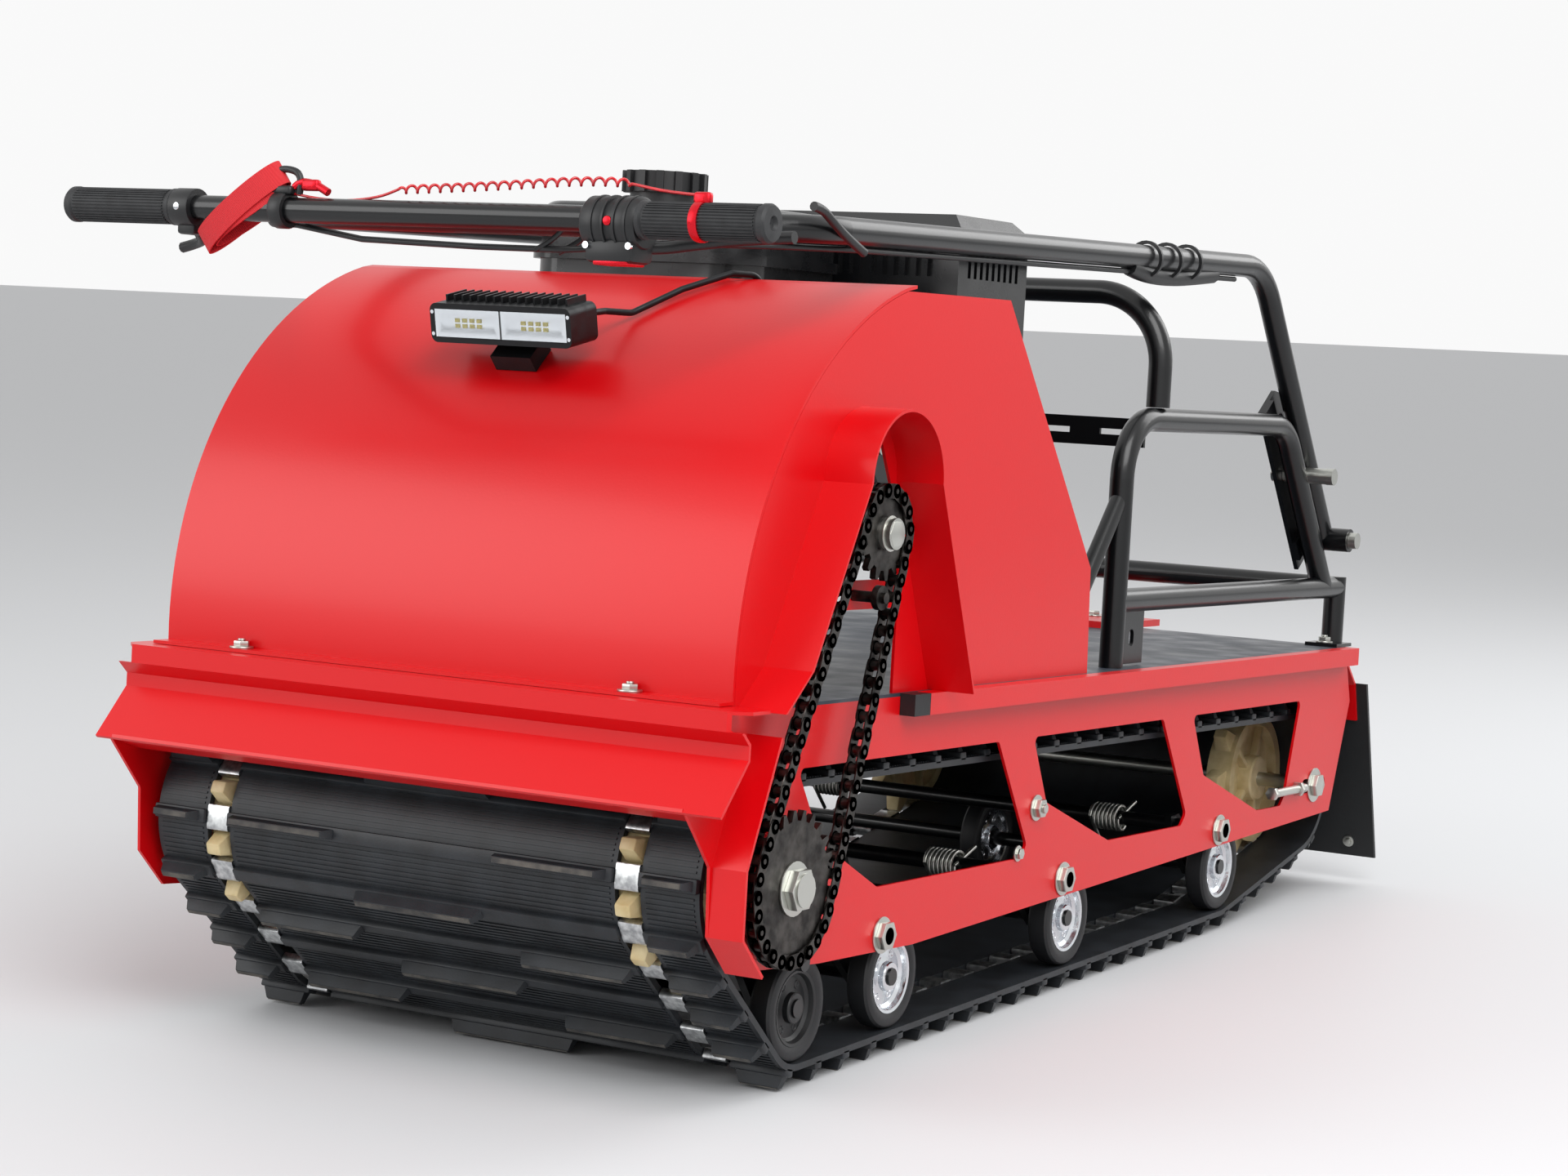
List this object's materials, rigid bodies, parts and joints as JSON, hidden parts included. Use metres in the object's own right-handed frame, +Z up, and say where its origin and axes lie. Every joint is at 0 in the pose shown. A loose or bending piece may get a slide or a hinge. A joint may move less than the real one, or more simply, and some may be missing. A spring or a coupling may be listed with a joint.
{
  "type": "tracked snow tug",
  "caption": "Walk-behind tracked snow tug with a rubber track, hooded engine, load deck with tube cage and a folding handle.",
  "frame": {"origin": "on the floor, below the middle of the overall box", "axes": "+X to the front, +Y to the machine's left, +Z up"},
  "size_m": [1.5581, 0.744, 0.8109],
  "materials": {
    "red_coat": "satin powder coat",
    "black_coat": "semi-gloss powder coat",
    "deck_coat": "satin powder coat",
    "track_rubber": "moulded",
    "wheel_rubber": "moulded",
    "beige_polymer": "matt",
    "zinc_steel": "zinc plated",
    "chrome_steel": "bright",
    "chain_steel": "oiled",
    "engine_coat": "gloss",
    "black_plastic": "matt",
    "grip_rubber": "ribbed",
    "flap_rubber": "sheet",
    "red_cord": "polyurethane cord",
    "clear_lens": "clear",
    "lamp_alloy": "black anodised"
  },
  "bodies": {
    "chassis": {"side_plate_left": "red_coat", "side_plate_right": "red_coat", "deck_plate": "deck_coat", "front_bumper": "red_coat", "chain_shield": "red_coat", "hood_shell": "red_coat", "hood_side_left": "red_coat", "hood_side_right": "red_coat", "chain_guard": "red_coat", "track_belt": "track_rubber", "suspension_arms": "black_coat", "wheel_tyres": "wheel_rubber", "wheel_rims": "chrome_steel", "drive_shaft": "zinc_steel", "drive_wheels": "beige_polymer", "rear_shaft": "zinc_steel", "rear_wheels": "beige_polymer", "drive_sprocket": "chain_steel", "engine_sprocket": "chain_steel", "drive_chain": "chain_steel", "engine_block": "engine_coat", "engine_shaft": "zinc_steel", "fuel_tank": "engine_coat", "fuel_cap": "black_plastic", "muffler_cover": "engine_coat", "air_filter": "black_plastic", "engine_plinth": "black_coat", "cage_left": "black_coat", "cage_right": "black_coat", "cage_crossbars": "black_coat", "cage_hoop": "black_coat", "fork_plates": "black_coat", "handle_bolts": "zinc_steel", "deck_edges": "red_coat", "edge_stops": "flap_rubber", "suspension_springs": "chrome_steel", "lamp_lens": "clear_lens", "mud_flap": "flap_rubber", "tow_plate": "red_coat", "rear_panel": "red_coat", "lamp_body": "lamp_alloy"},
    "handle": {"handle_frame": "black_coat", "handlebar": "black_coat", "grips": "grip_rubber", "hand_controls": "black_plastic", "control_cable": "black_plastic", "stop_tether": "red_cord"}
  },
  "joints": [
    {"name": "handle_fold", "type": "hinge", "parent": "chassis", "child": "handle", "pos_m": [-0.63909, 0, 0.42544], "axis": [0, -1, 0], "range_deg": [0, 148]}
  ]
}
